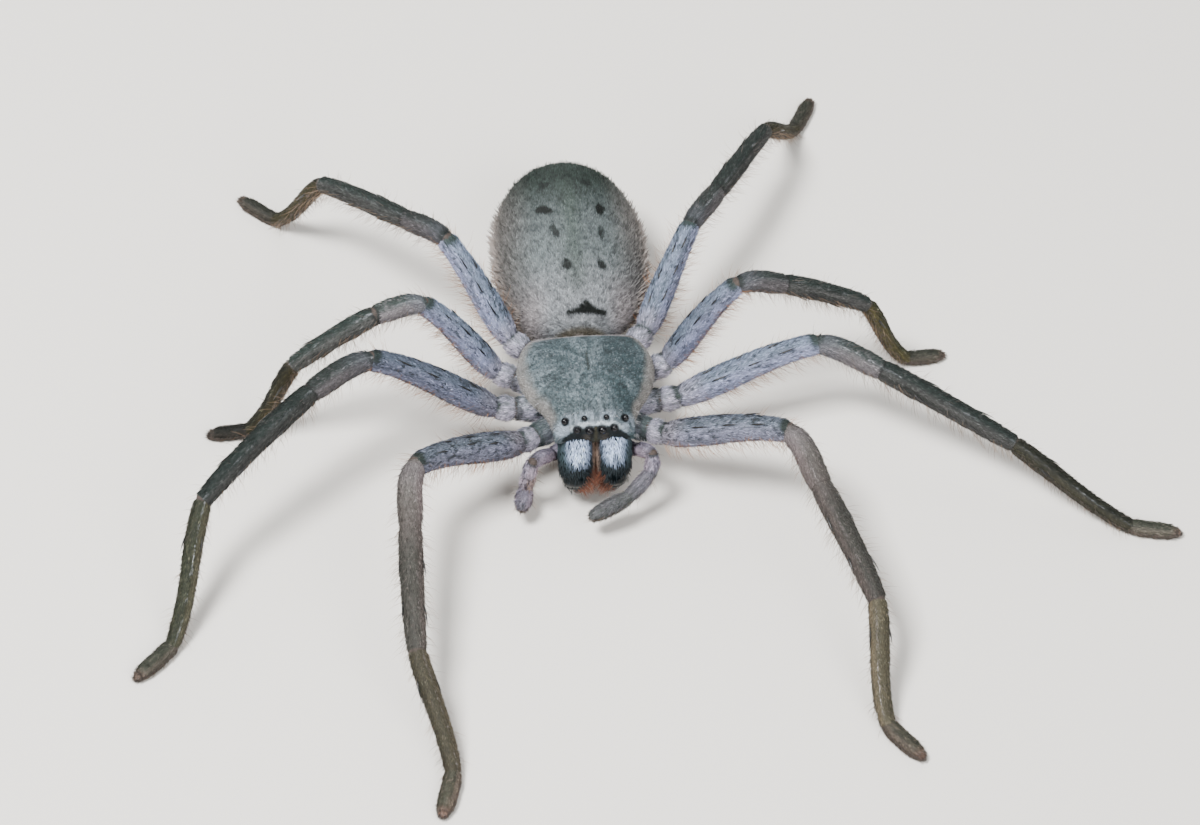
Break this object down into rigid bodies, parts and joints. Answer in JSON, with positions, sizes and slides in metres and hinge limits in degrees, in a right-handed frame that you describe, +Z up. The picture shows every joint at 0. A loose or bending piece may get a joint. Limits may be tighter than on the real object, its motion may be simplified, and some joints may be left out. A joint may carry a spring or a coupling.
{
  "type": "huntsman spider model",
  "caption": "Life-size still model of a large huntsman spider, legs spread sideways and low, standing on the small flats of its feet.",
  "frame": {"origin": "middle of the bounding box, on the floor that the feet rest on", "axes": "+Z up, the head looks along -Y, +X to the spider's left and along the span of its legs"},
  "size_m": [0.0964, 0.0824, 0.0157],
  "materials": {
    "carapace": "short blue-grey velvet with a pale margin",
    "sternum": "short dark brown fur",
    "coxa": "pale lilac-grey fur",
    "femur": "bluish grey fur with fine speckles",
    "shin": "dark olive-grey fur with pale streaks",
    "foot": "dark fur with a dense pad of hair below the tip",
    "abdomen": "grey-beige velvet with paired dark spots",
    "chelicera": "glossy black with a grey hair patch",
    "fang": "glossy dark red-brown",
    "eye": "glossy black",
    "palp": "pale grey fur",
    "pedicel": "bare brown-grey skin"
  },
  "bodies": {
    "root": {"abdomen": "abdomen", "carapace": "carapace", "chelicera_left": "chelicera", "chelicera_right": "chelicera", "eye_anterior_lateral_left": "eye", "eye_anterior_lateral_right": "eye", "eye_anterior_median_left": "eye", "eye_anterior_median_right": "eye", "eye_posterior_lateral_left": "eye", "eye_posterior_lateral_right": "eye", "eye_posterior_median_left": "eye", "eye_posterior_median_right": "eye", "fang_left": "fang", "fang_right": "fang", "leg_1_left_coxa": "coxa", "leg_1_left_femur": "femur", "leg_1_left_metatarsus_tarsus": "foot", "leg_1_left_patella_tibia": "shin", "leg_1_right_coxa": "coxa", "leg_1_right_femur": "femur", "leg_1_right_metatarsus_tarsus": "foot", "leg_1_right_patella_tibia": "shin", "leg_2_left_coxa": "coxa", "leg_2_left_femur": "femur", "leg_2_left_metatarsus_tarsus": "foot", "leg_2_left_patella_tibia": "shin", "leg_2_right_coxa": "coxa", "leg_2_right_femur": "femur", "leg_2_right_metatarsus_tarsus": "foot", "leg_2_right_patella_tibia": "shin", "leg_3_left_coxa": "coxa", "leg_3_left_femur": "femur", "leg_3_left_metatarsus_tarsus": "foot", "leg_3_left_patella_tibia": "shin", "leg_3_right_coxa": "coxa", "leg_3_right_femur": "femur", "leg_3_right_metatarsus_tarsus": "foot", "leg_3_right_patella_tibia": "shin", "leg_4_left_coxa": "coxa", "leg_4_left_femur": "femur", "leg_4_left_metatarsus_tarsus": "foot", "leg_4_left_patella_tibia": "shin", "leg_4_right_coxa": "coxa", "leg_4_right_femur": "femur", "leg_4_right_metatarsus_tarsus": "foot", "leg_4_right_patella_tibia": "shin", "mouthparts": "sternum", "palp_left_femur": "palp", "palp_left_patella_tibia": "palp", "palp_left_tarsus": "palp", "palp_right_femur": "palp", "palp_right_patella_tibia": "palp", "palp_right_tarsus": "palp", "pedicel": "pedicel", "spinnerets": "abdomen", "sternum": "sternum"}
  },
  "joints": []
}
